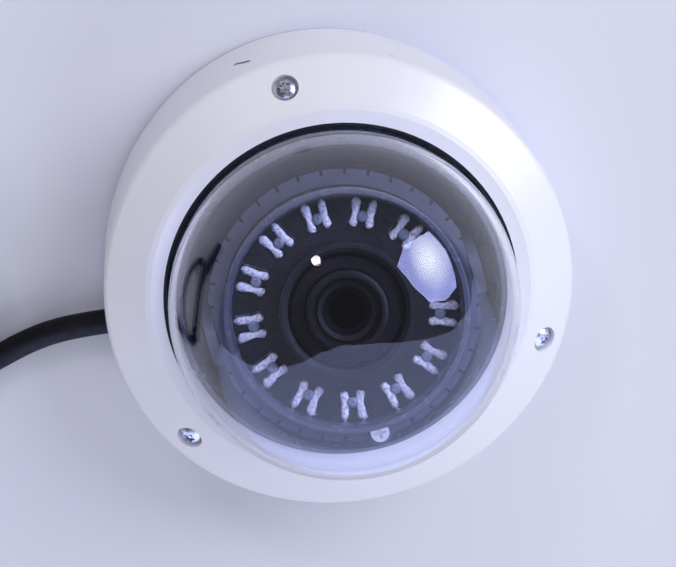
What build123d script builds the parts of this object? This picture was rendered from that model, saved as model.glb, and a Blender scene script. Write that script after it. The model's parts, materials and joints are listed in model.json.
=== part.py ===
from build123d import *
import os
from math import atan2, cos, degrees, pi, radians, sin, tan

os.makedirs("parts", exist_ok=True)

# Dome camera, in millimetres. The origin is the centre of the mounting face,
# +Z is the dome's axis, and the cable leaves towards +X.

# Cover: a drafted skirt with three soft lobes, a sloping face and a flat lip.
RIM_RADIUS = 55.0
LOBE_SWELL = 0.9
LOBE_ANGLE = 270
OUTLINE_POINTS = 24
COVER_LOW = 1.9
COVER_WALL = 1.8
SKIRT_TOP_RADIUS = 54.5
FACE_EDGE = (62.0, 22.6)
CREST = (45.0, 34.0)
COVER_TOP = 34.5
LIP_UNDER = 31.9
LIP_RADIUS = 40.8
FACE_THICKNESS = 2.65
NOTCH_HALF_WIDTH = 6.5

# Cover screws: M3 button heads, square to the sloping face, in tight round pockets.
SCREW_CIRCLE = 49.8
SCREW_RADIUS = 1.5
SCREW_LENGTH = 5.0
HEAD_RADIUS = 2.85
HEAD_HEIGHT = 1.65
POCKET_RADIUS = 3.1
POCKET_DEPTH = 1.5
BOSS_RADIUS = 3.4
BOSS_DEPTH = 3.9
LUG_DEPTH = 4.2
LUG_INNER = 44.6
LUG_OUTER = 51.5
FACE_SLOPE = degrees(atan2(CREST[1] - FACE_EDGE[1], FACE_EDGE[0] - CREST[0]))
FACE_AT_SCREW = CREST[1] - (SCREW_CIRCLE - CREST[0]) * tan(radians(FACE_SLOPE))

# Base casting.
FLANGE_TOP = 1.6
FLOOR_TOP = 2.5
CUP_OUTER = 47.5
CUP_INNER = 45.0
CUP_TOP = 22.0
PILOT_RADIUS = 1.6
HOLE_CIRCLE = 38.0
HOLE_RADIUS = 2.25
SEAL_TOP = 23.6

# Dome bubble, a hemisphere on a short straight wall with a flange.
DOME_HEIGHT = 40.0
DOME_RADIUS = 39.9
DOME_WALL = 1.6
DOME_FLANGE_RADIUS = 43.6
FLANGE_LOW = 29.6
FLANGE_HIGH = 31.6
RETAINER_LOW = 27.6
LINER_LOW = 26.2
LINER_RADIUS = 37.6
LINER_WALL = 1.0
LINER_TOP = 39.2
RETAINER_SCREW_CIRCLE = 42.2

# Circuit board and turntable in the base.
BOARD_RADIUS = 33.5
BOARD_LOW = 5.5
BOARD_TOP = 7.1
STANDOFF_CIRCLE = 29.0
TABLE_LOW = 10.2
TABLE_TOP = 13.0
TABLE_OUTER = 41.5
TABLE_INNER = 20.0
POST_CIRCLE = 39.6
YOKE_LOW = 13.4
YOKE_TOP = 16.4
YOKE_OUTER = 36.0
YOKE_INNER = 21.0
CLAMP_TOP = 18.0
LOCK_ANGLE = -62
LOCK_CIRCLE = 35.4
ARM_INNER = 29.4
ARM_OUTER = 31.8
ARM_HALF_WIDTH = 6.0
RIB_OUTER = 33.0
RIB_WIDTH = 2.0
PIVOT_HOLE = 2.1

# Eyeball, built about its own optical axis and then tilted.
BALL_TILT = 13.5
BALL_RADIUS = 26.6
BALL_WALL = 1.6
DRUM_RADIUS = 26.8
DRUM_INNER = 25.0
SPLIT = 2.0
LEDGE_TOP = 9.9
IR_BOARD_TOP = 11.5
WINDOW_LOW = 16.2
WINDOW_TOP = 17.7
RIM_TOP = 17.9
WINDOW_RADIUS = 25.5
HOOD_OUTER = 14.8
HOOD_INNER = 12.9
LED_CIRCLE = 21.5
LED_PLACES = 13
LED_START = 272.5
SENSOR_PLACE = 10
LED_SIZE = 6.4
CARRIER_INNER = 27.2
CARRIER_OUTER = 28.8
CARRIER_TOP = 5.5
SCALE_RADIUS = 30.6
SCALE_LOW = 3.7
SCALE_FLAT = 29.1
SCALE_NOTCHES = 36
ROLL_LOCK_CIRCLE = 29.4
LENS_RADIUS = 9.0
FILTER_TRAVEL = 8.0

# Cable, a round lead that runs along the floor into a tied coil.
CABLE_RADIUS = 3.0
EXIT_HEIGHT = 6.0
GLAND_END = 55.0
LEAD_ROUTE = [
    (55.0, 0.0, 6.0),
    (64.0, -0.9, 4.9),
    (74.0, -0.4, 4.0),
    (85.0, 2.3, 3.6),
    (96.0, 5.3, 3.7),
    (106.5, 7.5, 3.6),
]
COIL_RADIUS = 33.0
COIL_HALF_WIDTH = 3.1
COIL_LOW = 0.7
COIL_TOP = 14.5
TIE_ANGLE = 55.0
TIE_WIDTH = 9.0
TIE_THICKNESS = 0.5
TAIL_ROUTE = [
    (146.3, -24.8, 11.5),
    (146.1, -34.6, 10.8),
    (144.6, -44.5, 9.2),
    (141.6, -53.5, 8.5),
]
PLUG_MOUTH = (12.0, 7.4, 14.0)


def rod(radius, low, high):
    """Solid cylinder about Z between two heights."""
    return Pos(0, 0, (low + high) / 2) * Cylinder(radius, high - low)


def ring(outer, inner, low, high):
    """Flat ring or tube about Z between two heights."""
    return rod(outer, low, high) - rod(inner, low - 1, high + 1)


def block(size_x, size_y, low, high):
    """Box centred on Z between two heights."""
    return Pos(0, 0, (low + high) / 2) * Box(size_x, size_y, high - low)


def turned(*points):
    """Solid of revolution about Z from (radius, height) points."""
    return revolve(Plane.XZ * make_face(Polyline(*points, close=True)), Axis.Z)


def spaced(part, radius, count=3, start=90.0):
    """The same piece repeated evenly round Z, as separate solids."""
    turns = [start + 360 / count * place for place in range(count)]
    return [Rot(0, 0, turn) * Pos(radius, 0, 0) * part for turn in turns]


def group(pieces):
    """One node that holds several separate solids."""
    return Compound(children=[Part(piece.wrapped) for piece in pieces])


def in_ball(part):
    """Carry a piece from the eyeball's own axes to its place in the dome."""
    return Pos(0, 0, DOME_HEIGHT) * Rot(BALL_TILT, 0, 0) * part


def on_face(part):
    """A piece at each cover screw, height 0 on the face and Z square to it."""
    tipped = Pos(0, 0, FACE_AT_SCREW) * Rot(0, FACE_SLOPE, 0) * part
    return spaced(tipped, SCREW_CIRCLE, start=LOBE_ANGLE)


def lobed(radius, swell, height):
    """Closed outline that swells gently at three places."""
    points = []
    for place in range(OUTLINE_POINTS):
        turn = 2 * pi * place / OUTLINE_POINTS
        reach = radius + swell * cos(3 * (turn - radians(LOBE_ANGLE)))
        points.append((reach * cos(turn), reach * sin(turn)))
    return Pos(0, 0, height) * make_face(Spline(*points, periodic=True))


def button_screw(shank_radius, shank_length, head_radius, head_height):
    """Round-headed screw, head seat at height 0, shank downwards."""
    crown = head_height - 0.35
    sphere_radius = (head_radius ** 2 + crown ** 2) / (2 * crown)
    head = rod(head_radius, 0, head_height)
    head &= Pos(0, 0, head_height - sphere_radius) * Sphere(sphere_radius)
    return head + rod(shank_radius, -shank_length, 0.1)


def pan_screw(shank_radius, shank_length, head_radius, head_height):
    """Small flat-headed screw with a cross slot."""
    screw = rod(head_radius, 0, head_height) + rod(shank_radius, -shank_length, 0.1)
    slot = block(head_radius * 1.2, 0.4, head_height - 0.5, head_height + 0.1)
    return screw - slot - Rot(0, 0, 90) * slot


# ---------------------------------------------------------------- cover


def skirt(inset, low):
    """Drafted skirt whose lobes fade out upwards."""
    foot = lobed(RIM_RADIUS - inset, LOBE_SWELL, low)
    head = lobed(SKIRT_TOP_RADIUS - inset, 0.2, COVER_TOP + 5)
    return loft([foot, head], ruled=True)


def cap(drop):
    """Sloping face and flat crown, lowered by the wall's thickness."""
    flat = COVER_TOP if drop == 0 else LIP_UNDER
    return turned(
        (0, 0),
        (FACE_EDGE[0], 0),
        (FACE_EDGE[0], FACE_EDGE[1] - drop),
        (CREST[0], CREST[1] - drop),
        (CREST[0] - 1.2, flat),
        (0, flat),
    )


def make_cover():
    outer = skirt(0, COVER_LOW) & cap(0)
    shoulder = [e for e in outer.edges() if 25 < e.center().Z < 30]
    outer = fillet(shoulder, 2.0)
    inner = skirt(COVER_WALL, COVER_LOW - 1) & cap(FACE_THICKNESS)
    cover = outer - inner
    sealing_wall = ring(CUP_OUTER - 0.2, CUP_INNER - 0.2, SEAL_TOP, CREST[1] - 3)
    gap = block(6, 2 * BOSS_RADIUS + 1, SEAL_TOP - 1, 30.4)
    for opening in spaced(gap, CUP_INNER + 1, start=LOBE_ANGLE):
        sealing_wall -= opening
    cover += sealing_wall
    cover = cover + on_face(rod(BOSS_RADIUS, -BOSS_DEPTH, -1))
    cover &= skirt(0, COVER_LOW) & cap(0)
    cover -= rod(LIP_RADIUS, 20, COVER_TOP + 1)
    for pocket in on_face(rod(POCKET_RADIUS, -POCKET_DEPTH, 5)):
        cover -= pocket
    for hole in on_face(rod(SCREW_RADIUS + 0.2, -BOSS_DEPTH - 1, 0)):
        cover -= hole
    for hole in spaced(rod(1.1, 30, COVER_TOP - 1.1), RETAINER_SCREW_CIRCLE):
        cover -= hole
    notch = Pos(RIM_RADIUS, 0, EXIT_HEIGHT / 2) * Box(20, 2 * NOTCH_HALF_WIDTH, EXIT_HEIGHT)
    arch = Pos(RIM_RADIUS, 0, EXIT_HEIGHT) * Rot(0, 90, 0) * Cylinder(NOTCH_HALF_WIDTH, 20)
    return cover - notch - arch


def make_cover_screw():
    screw = button_screw(SCREW_RADIUS, SCREW_LENGTH, HEAD_RADIUS, HEAD_HEIGHT)
    star = rod(1.05, 0.7, 3)
    for place in range(6):
        star += Rot(0, 0, 60 * place) * Pos(1.05, 0, 0) * rod(0.36, 0.7, 3)
    return screw - star + rod(0.36, 0.6, 1.25)


def make_cover_screws():
    return group(on_face(Pos(0, 0, -POCKET_DEPTH) * make_cover_screw()))


def make_captive_clips():
    # The clips sit on the shanks in the gap above the base's lugs.
    return group(on_face(ring(1.95, SCREW_RADIUS + 0.02, -LUG_DEPTH + 0.02, -BOSS_DEPTH - 0.02)))


def make_dome_bubble():
    inner_radius = DOME_RADIUS - DOME_WALL
    bubble = Pos(0, 0, DOME_HEIGHT) * Sphere(DOME_RADIUS)
    bubble &= rod(DOME_RADIUS + 1, DOME_HEIGHT, DOME_HEIGHT + DOME_RADIUS + 1)
    bubble += rod(DOME_RADIUS, FLANGE_LOW, DOME_HEIGHT)
    bubble += rod(DOME_FLANGE_RADIUS, FLANGE_LOW, FLANGE_HIGH)
    bubble -= Pos(0, 0, DOME_HEIGHT) * Sphere(inner_radius)
    bubble -= rod(inner_radius, FLANGE_LOW - 1, DOME_HEIGHT)
    for hole in spaced(rod(1.1, FLANGE_LOW - 1, FLANGE_HIGH + 1), RETAINER_SCREW_CIRCLE):
        bubble -= hole
    return bubble


def make_dome_gasket():
    inner = DOME_RADIUS + 0.1
    gasket = ring(LIP_RADIUS - 0.02, inner, FLANGE_HIGH, COVER_TOP - 0.3)
    gasket += ring(DOME_FLANGE_RADIUS, inner, FLANGE_HIGH, LIP_UNDER)
    for hole in spaced(rod(1.1, FLANGE_HIGH - 1, COVER_TOP), RETAINER_SCREW_CIRCLE):
        gasket -= hole
    return gasket


def make_dome_retainer():
    retainer = ring(44.3, LINER_RADIUS + 0.3, RETAINER_LOW, FLANGE_LOW)
    for hole in spaced(rod(1.1, RETAINER_LOW - 1, FLANGE_LOW + 1), RETAINER_SCREW_CIRCLE):
        retainer -= hole
    return retainer


def make_liner():
    """Trim ring with a flange, lining the straight foot of the dome."""
    liner = ring(LINER_RADIUS, LINER_RADIUS - LINER_WALL, LINER_LOW, LINER_TOP)
    liner += ring(44.3, LINER_RADIUS - LINER_WALL, LINER_LOW, RETAINER_LOW)
    for hole in spaced(rod(1.1, LINER_LOW - 1, RETAINER_LOW + 1), RETAINER_SCREW_CIRCLE):
        liner -= hole
    return liner


def make_retainer_screws():
    # The heads are under the liner's flange, so the screws point upwards.
    screw = Rot(180, 0, 0) * pan_screw(1.0, 6.8, 1.9, 1.3)
    return group(spaced(Pos(0, 0, LINER_LOW) * screw, RETAINER_SCREW_CIRCLE))


def make_cover_seal():
    return ring(CUP_OUTER - 0.5, CUP_INNER + 0.2, CUP_TOP, SEAL_TOP)


# ---------------------------------------------------------------- base


def lug_top(radius):
    """Height of a screw lug's sloping top at a radius."""
    return FACE_AT_SCREW - (radius - SCREW_CIRCLE) * tan(radians(FACE_SLOPE)) - LUG_DEPTH / cos(
        radians(FACE_SLOPE)
    )


def make_screw_lug():
    """Post outside the cup, with a nose over the seal and a hole open along the lift."""
    outline = Polyline(
        (CUP_OUTER - 1, FLANGE_TOP / 2),
        (LUG_OUTER, FLANGE_TOP / 2),
        (LUG_OUTER, lug_top(LUG_OUTER)),
        (LUG_INNER, lug_top(LUG_INNER)),
        (LUG_INNER, SEAL_TOP + 0.05),
        (CUP_OUTER - 0.1, SEAL_TOP + 0.05),
        (CUP_OUTER - 0.1, CUP_TOP - 0.1),
        (CUP_OUTER - 1, CUP_TOP - 0.1),
        close=True,
    )
    lug = extrude(Plane.XZ * make_face(outline), BOSS_RADIUS, both=True)
    end = SCREW_LENGTH + POCKET_DEPTH + 0.5
    slope = radians(FACE_SLOPE)
    low = (SCREW_CIRCLE - end * sin(slope), FACE_AT_SCREW - end * cos(slope))
    high = (SCREW_CIRCLE, FACE_AT_SCREW)
    above = [(high[0], COVER_TOP), (low[0] - 1, COVER_TOP), (low[0] - 1, low[1])]
    swept = Polyline(low, high, *above, close=True)
    lift_path = extrude(Plane.XZ * make_face(swept), PILOT_RADIUS, both=True)
    return lug - lift_path


def make_base_housing():
    plate = extrude(lobed(RIM_RADIUS - 0.3, LOBE_SWELL, 0), FLANGE_TOP)
    base = plate + rod(51.0, 0, FLOOR_TOP)
    base += rod(CUP_OUTER, 0, CUP_TOP)
    base -= rod(CUP_INNER, FLOOR_TOP, CUP_TOP + 1)
    base = base + spaced(make_screw_lug(), 0, start=LOBE_ANGLE)
    base = base + spaced(rod(2.6, FLOOR_TOP - 0.5, BOARD_LOW), STANDOFF_CIRCLE, start=30)
    base = base + spaced(rod(3.2, FLOOR_TOP - 0.5, TABLE_LOW), POST_CIRCLE, start=90 - 35)
    for hole in on_face(rod(PILOT_RADIUS, -SCREW_LENGTH - POCKET_DEPTH - 0.5, 0)):
        base -= hole
    for hole in spaced(rod(0.9, 2.7, BOARD_LOW + 1), STANDOFF_CIRCLE, start=30):
        base -= hole
    for hole in spaced(rod(1.3, 4.0, TABLE_LOW + 1), POST_CIRCLE, start=90 - 35):
        base -= hole
    for hole in spaced(rod(HOLE_RADIUS, -1, FLOOR_TOP + 1), HOLE_CIRCLE):
        base -= hole
    outlet = Pos(CUP_OUTER, 0, EXIT_HEIGHT) * Rot(0, 90, 0) * Cylinder(4.25, 12)
    return base - outlet


def make_main_board():
    board = rod(BOARD_RADIUS, BOARD_LOW, BOARD_TOP)
    for hole in spaced(rod(1.2, BOARD_LOW - 1, BOARD_TOP + 1), STANDOFF_CIRCLE, start=30):
        board -= hole
    return board


def make_board_screws():
    screw = Pos(0, 0, BOARD_TOP) * pan_screw(0.85, 4.2, 2.0, 1.2)
    return group(spaced(screw, STANDOFF_CIRCLE, start=30))


def make_board_chips():
    processor = block(13, 13, BOARD_TOP, BOARD_TOP + 1.5)
    memory = Pos(13.5, 2, 0) * block(8, 11, BOARD_TOP, BOARD_TOP + 1.0)
    network = Pos(-17, -6, 0) * block(9, 12.5, BOARD_TOP, BOARD_TOP + 2.4)
    power = Pos(2, 16, 0) * block(7, 7, BOARD_TOP, BOARD_TOP + 2.4)
    crystal = Pos(10, -12, 0) * block(3.2, 2.5, BOARD_TOP, BOARD_TOP + 0.8)
    can = rod(2.2, BOARD_TOP, BOARD_TOP + 2.6)
    cans = [Pos(x, y, 0) * can for x, y in ((-7, 17), (-12.5, 14), (12, 15))]
    passive = block(1.6, 0.8, BOARD_TOP, BOARD_TOP + 0.6)
    passives = [Pos(-9 + 2.6 * place, -10.5, 0) * passive for place in range(6)]
    return group([processor, memory, network, power, crystal] + cans + passives)


def make_board_connectors():
    header = block(4.2, 13.5, BOARD_TOP, BOARD_TOP + 2.5)
    header -= block(2.6, 11.9, BOARD_TOP + 0.8, BOARD_TOP + 3)
    places = [Rot(0, 0, turn) * Pos(26.5, 0, 0) * header for turn in (0, 180, 250)]
    return group(places)


def make_turntable():
    table = ring(TABLE_OUTER, TABLE_INNER, TABLE_LOW, TABLE_TOP)
    for hole in spaced(rod(1.4, TABLE_LOW - 1, TABLE_TOP + 1), POST_CIRCLE, start=90 - 35):
        table -= hole
    return table


def make_pan_clamp_ring():
    clamp = ring(TABLE_OUTER, YOKE_OUTER + 0.4, TABLE_TOP, CLAMP_TOP)
    clamp += ring(TABLE_OUTER, YOKE_OUTER - 1.2, YOKE_TOP + 0.3, CLAMP_TOP)
    lug = Pos(LOCK_CIRCLE + 1.0, 0, 0) * rod(3.0, YOKE_TOP + 0.3, CLAMP_TOP)
    clamp += Rot(0, 0, LOCK_ANGLE) * lug
    clamp -= Rot(0, 0, LOCK_ANGLE) * Pos(LOCK_CIRCLE, 0, 0) * rod(1.3, YOKE_TOP, CLAMP_TOP + 1)
    for hole in spaced(rod(1.4, TABLE_TOP - 1, CLAMP_TOP + 1), POST_CIRCLE, start=90 - 35):
        clamp -= hole
    return clamp


def make_turntable_screws():
    screw = Pos(0, 0, CLAMP_TOP) * pan_screw(1.25, 13.0, 2.1, 1.5)
    return group(spaced(screw, POST_CIRCLE, start=90 - 35))


def make_pan_lock_screw():
    screw = Pos(0, 0, CLAMP_TOP) * pan_screw(1.2, CLAMP_TOP - YOKE_TOP - 0.3, 1.8, 1.4)
    return Rot(0, 0, LOCK_ANGLE) * Pos(LOCK_CIRCLE, 0, 0) * screw


# ---------------------------------------------------------------- pan and tilt


def make_pan_yoke():
    yoke = ring(YOKE_OUTER, YOKE_INNER, YOKE_LOW, YOKE_TOP)
    yoke += ring(YOKE_OUTER - 1.6, YOKE_OUTER - 3.6, TABLE_TOP + 0.05, YOKE_LOW)
    middle = (ARM_INNER + ARM_OUTER) / 2
    width = ARM_OUTER - ARM_INNER
    for side in (-1, 1):
        arm = Pos(side * middle, 0, 0) * block(width, 2 * ARM_HALF_WIDTH, YOKE_LOW, DOME_HEIGHT)
        head = Pos(side * middle, 0, DOME_HEIGHT) * Rot(0, 90, 0) * Cylinder(ARM_HALF_WIDTH, width)
        rib_middle = (ARM_OUTER - 0.2 + RIB_OUTER) / 2
        rib = block(RIB_OUTER - ARM_OUTER + 0.2, RIB_WIDTH, YOKE_LOW, DOME_HEIGHT - 9)
        rib = Pos(side * rib_middle, 0, 0) * rib
        hole = Pos(side * middle, 0, DOME_HEIGHT) * Rot(0, 90, 0) * Cylinder(PIVOT_HOLE, 10)
        yoke = yoke + arm + head + rib - hole
    return yoke


def make_shroud():
    """Funnel round the eyeball that hides the works, slotted for the arms."""
    shroud = turned(
        (28.6, YOKE_TOP),
        (28.6, 20.0),
        (34.0, 25.4),
        (34.0, 24.0),
        (29.8, 19.6),
        (29.8, YOKE_TOP),
    )
    slot_width = 2 * ARM_HALF_WIDTH + 0.6
    for side in (-1, 1):
        shroud -= Pos(side * 32.4, 0, 0) * block(6.4, slot_width, YOKE_TOP - 1, 30)
    return shroud


def make_roll_carrier():
    """Ring the eyeball turns in, with a notched roll scale cut flat beside the arms."""
    carrier = ring(CARRIER_OUTER, CARRIER_INNER, -3.0, CARRIER_TOP)
    scale = ring(SCALE_RADIUS, CARRIER_INNER, SCALE_LOW, CARRIER_TOP)
    scale &= block(2 * SCALE_FLAT, 2 * SCALE_RADIUS, SCALE_LOW, CARRIER_TOP)
    cut = block(1.6, 0.7, SCALE_LOW - 1, CARRIER_TOP + 1)
    for notch in spaced(cut, SCALE_RADIUS - 0.4, SCALE_NOTCHES, 5):
        scale -= notch
    lug = Pos(0, ROLL_LOCK_CIRCLE, 0) * rod(3.0, 1.0, CARRIER_TOP)
    carrier += scale + (lug - rod(CARRIER_OUTER - 0.4, 0, 6))
    for side in (-1, 1):
        boss = Pos(side * 28.7, 0, 0) * Rot(0, 90, 0) * Cylinder(3.6, 0.9)
        hole = Pos(side * 29, 0, 0) * Rot(0, 90, 0) * Cylinder(PIVOT_HOLE, 6)
        carrier = carrier + (boss - rod(CARRIER_OUTER - 0.4, -5, 6)) - hole
    carrier -= Pos(0, ROLL_LOCK_CIRCLE, 0) * rod(1.05, 2.0, 6)
    return in_ball(carrier)


def make_tilt_pivot_screws():
    screws = []
    for side in (-1, 1):
        screw = rod(2.0, 27.6, 32.2) + rod(4.2, 32.2, 34.2)
        screw -= block(6.0, 0.8, 33.6, 35)
        screws.append(Pos(0, 0, DOME_HEIGHT) * Rot(0, side * 90, 0) * screw)
    return group(screws)


def make_roll_lock_screw():
    screw = Pos(0, ROLL_LOCK_CIRCLE, CARRIER_TOP) * pan_screw(1.0, 3.2, 2.1, 1.8)
    return in_ball(screw)


# ---------------------------------------------------------------- eyeball


def make_ball_rear_shell():
    lower = rod(30, -30, SPLIT)
    shell = (Sphere(BALL_RADIUS) - Sphere(BALL_RADIUS - BALL_WALL)) & lower
    tubes = spaced(rod(2.2, -16, SPLIT), 22.4, start=60)
    posts = spaced(rod(2.2, -22, -10.4), 17.5, start=0)
    shell += (Part() + tubes + posts) & Sphere(BALL_RADIUS - 0.4)
    shell -= rod(9.0, -30, -15)
    for hole in spaced(rod(1.0, -20, SPLIT + 1), 22.4, start=60):
        shell -= hole
    for pocket in spaced(rod(2.0, -20, -9.5), 22.4, start=60):
        shell -= pocket
    for hole in spaced(rod(0.8, -15.5, -9), 17.5, start=0):
        shell -= hole
    return in_ball(shell)


def make_ball_front_shell():
    shell = turned(
        (DRUM_INNER, SPLIT),
        (DRUM_RADIUS, SPLIT),
        (DRUM_RADIUS, RIM_TOP - 0.4),
        (DRUM_RADIUS - 0.4, RIM_TOP),
        (WINDOW_RADIUS + 0.05, RIM_TOP),
        (WINDOW_RADIUS + 0.05, WINDOW_LOW),
        (DRUM_INNER, WINDOW_LOW),
        (DRUM_INNER, LEDGE_TOP),
        (DRUM_INNER - 1.2, LEDGE_TOP),
        (DRUM_INNER - 1.2, LEDGE_TOP - 1.5),
        (DRUM_INNER, LEDGE_TOP - 1.5),
    )
    shell = shell + spaced(rod(2.2, SPLIT, LEDGE_TOP), 22.4, start=60)
    for hole in spaced(rod(0.95, SPLIT - 1, LEDGE_TOP - 1), 22.4, start=60):
        shell -= hole
    return in_ball(shell)


def make_ball_screws():
    screw = Pos(0, 0, -9.5) * Rot(180, 0, 0) * pan_screw(0.9, 16.5, 1.8, 1.3)
    return group([in_ball(piece) for piece in spaced(screw, 22.4, start=60)])


def make_ir_board():
    return in_ball(ring(DRUM_INNER - 0.15, 11.9, LEDGE_TOP, IR_BOARD_TOP))


def make_ir_led(place):
    """Square clear lamp with a cut corner, a round lens and four legs."""
    half = LED_SIZE / 2
    body = block(LED_SIZE, LED_SIZE, IR_BOARD_TOP + 0.4, IR_BOARD_TOP + 2.6)
    body = chamfer(body.edges().filter_by(Axis.Z).sort_by(Axis.X)[-1], 1.1)
    lens = Pos(0, 0, IR_BOARD_TOP + 2.0) * Sphere(2.3) & rod(3, IR_BOARD_TOP + 2, 20)
    lamp = body + lens
    for leg_x in (-2.3, 2.3):
        for leg_y in (-2.3, 2.3):
            leg = Pos(leg_x, leg_y, 0) * block(0.9, 0.9, IR_BOARD_TOP, IR_BOARD_TOP + 0.5)
            lamp += leg
    turn = LED_START + 360 / LED_PLACES * place
    return in_ball(Rot(0, 0, turn) * Pos(LED_CIRCLE, 0, 0) * lamp)


def make_light_sensor():
    cell = rod(2.1, IR_BOARD_TOP, IR_BOARD_TOP + 1.8)
    turn = LED_START + 360 / LED_PLACES * SENSOR_PLACE
    return in_ball(Rot(0, 0, turn) * Pos(LED_CIRCLE, 0, 0) * cell)


def make_ir_window():
    return in_ball(ring(WINDOW_RADIUS, HOOD_OUTER + 0.05, WINDOW_LOW, WINDOW_TOP))


def make_lens_hood():
    hood = turned(
        (HOOD_OUTER, IR_BOARD_TOP),
        (HOOD_OUTER, 18.2),
        (HOOD_OUTER - 0.9, 18.2),
        (HOOD_INNER, 17.2),
        (HOOD_INNER, IR_BOARD_TOP),
    )
    return in_ball(hood)


def make_lens_holder():
    holder = block(26, 20, -6.8, -1.0) + ring(11.3, LENS_RADIUS + 0.3, -1.0, 12.0)
    holder -= rod(4.5, -7, 0)
    holder -= block(10, 9, -7, -5.6)
    holder -= block(28, 10.8, -4.6, -2.6)
    for side in (-1, 1):
        holder -= Pos(side * 10.5, 7.4, 0) * rod(0.9, -7, -4.2)
    return in_ball(holder)


def make_filter_carriage():
    carriage = Pos(-FILTER_TRAVEL / 2, 0, 0) * block(18, 10.2, -4.3, -2.9)
    for hole_x in (0, -FILTER_TRAVEL):
        carriage -= Pos(hole_x, 0, 0) * rod(3.5, -5, -2)
    return in_ball(carriage)


def make_filter_glass():
    """The infrared-blocking pane over the sensor, and the clear one beside it."""
    panes = [Pos(x, 0, 0) * rod(3.48, -4.0, -3.2) for x in (0, -FILTER_TRAVEL)]
    return group([in_ball(pane) for pane in panes])


def make_lens_barrel():
    barrel = turned(
        (4.0, 0.5),
        (LENS_RADIUS - 0.6, 0.5),
        (LENS_RADIUS - 0.6, 11.6),
        (LENS_RADIUS, 11.9),
        (LENS_RADIUS, 19.0),
        (LENS_RADIUS - 0.7, 19.4),
        (LENS_RADIUS - 1.3, 19.4),
        (LENS_RADIUS - 2.0, 16.8),
        (4.0, 16.8),
    )
    return in_ball(barrel)


def make_lens_glass():
    """Front and rear elements of the lens."""
    front = Pos(0, 0, 18.9 - 9.0) * Sphere(9.0) & rod(LENS_RADIUS - 2.05, 16.8, 20)
    rear = rod(3.95, 2.0, 4.2)
    return group([in_ball(front), in_ball(rear)])


def make_focus_ring():
    focus = ring(12.0, LENS_RADIUS + 0.35, 12.6, 15.6)
    for notch in spaced(rod(0.35, 12, 16), 12.1, count=24, start=0):
        focus -= notch
    return in_ball(focus)


def make_sensor_board():
    board = block(30, 26, -8.4, -6.8)
    for side in (-1, 1):
        board -= Pos(side * 10.5, 7.4, 0) * rod(1.1, -9, -6)
    return in_ball(board)


def make_image_sensor():
    return in_ball(block(8.4, 7.2, -6.8, -6.0))


def make_heat_sink():
    sink = rod(21.8, -10.4, -9.0) + block(14, 14, -9.1, -8.4)
    for hole in spaced(rod(1.0, -11, -8), 17.5, start=0):
        sink -= hole
    for side in (-1, 1):
        sink -= Pos(side * 10.5, 7.4, 0) * rod(2.2, -11, -8)
    for tube in spaced(rod(2.5, -11, -8), 22.4, start=60):
        sink -= tube
    return in_ball(sink)


def make_inner_screws():
    """Screws of the heat sink and of the sensor board."""
    sink_screw = Pos(0, 0, -9.0) * pan_screw(0.75, 5.5, 1.6, 1.0)
    pieces = spaced(sink_screw, 17.5, start=0)
    for side in (-1, 1):
        screw = Pos(side * 10.5, 7.4, -8.4) * Rot(180, 0, 0) * pan_screw(0.85, 3.6, 1.7, 1.0)
        pieces.append(screw)
    return group([in_ball(piece) for piece in pieces])


# ---------------------------------------------------------------- cable


def heading(route):
    """Direction of a route's last run on the floor, in degrees."""
    run = Vector(*route[-1]) - Vector(*route[-2])
    return degrees(atan2(run.Y, run.X))


def tube(name, route, radius):
    """Round cable of straight runs and tangent arcs along a route."""
    points = [Vector(*point) for point in route]
    radii = []
    for before, here, after in zip(points, points[1:], points[2:]):
        turn = radians((here - before).get_angle(after - here))
        run = min((here - before).length, (after - here).length)
        radii.append(0.45 * run / tan(turn / 2))
    path = FilletPolyline(*points, radius=radii)
    start = Plane(origin=points[0], z_dir=points[1] - points[0])
    solid = sweep(start * Circle(radius), path=path)
    share = solid.volume / (pi * radius ** 2 * path.length)
    print(name, "length", round(path.length, 1), "radii", [round(r) for r in radii],
          "volume share", round(share, 4))
    return solid


def coil_centre():
    """The coil curves to the right of the lead's last run."""
    before, last = LEAD_ROUTE[-2:]
    run = Vector(last[0] - before[0], last[1] - before[1], 0).normalized()
    return Pos(last[0] + COIL_RADIUS * run.Y, last[1] - COIL_RADIUS * run.X, 0)


def make_cable_gland():
    # The flanges are cut flat where they meet the floor of the base.
    place = Pos(0, 0, EXIT_HEIGHT) * Rot(0, 90, 0)
    flanges = place * (rod(5.6, 43.0, 44.6) + rod(5.6, 47.6, 49.6))
    flanges &= block(120, 20, FLOOR_TOP + 0.05, 20)
    nose = turned((0, 50), (4.2, 50), (3.5, GLAND_END), (0, GLAND_END))
    return flanges + place * (rod(4.2, 43.0, 50.0) + nose)


def make_cable_coil():
    outer = COIL_RADIUS + COIL_HALF_WIDTH
    inner = COIL_RADIUS - COIL_HALF_WIDTH
    return coil_centre() * ring(outer, inner, COIL_LOW, COIL_TOP)


def make_coil_tie():
    """Flat strap closed round the coil's section."""
    near = COIL_RADIUS - COIL_HALF_WIDTH - 0.45
    far = COIL_RADIUS + COIL_HALF_WIDTH + 0.05
    height = COIL_TOP - COIL_LOW + 0.1
    band = Box(far - near + 2 * TIE_THICKNESS, TIE_WIDTH, height + 2 * TIE_THICKNESS)
    band -= Box(far - near, TIE_WIDTH + 1, height)
    middle = Pos((near + far) / 2, 0, (COIL_LOW + COIL_TOP) / 2)
    return coil_centre() * Rot(0, 0, TIE_ANGLE) * middle * band


def socket_place():
    return Pos(*TAIL_ROUTE[-1]) * Rot(0, 0, heading(TAIL_ROUTE))


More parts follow.
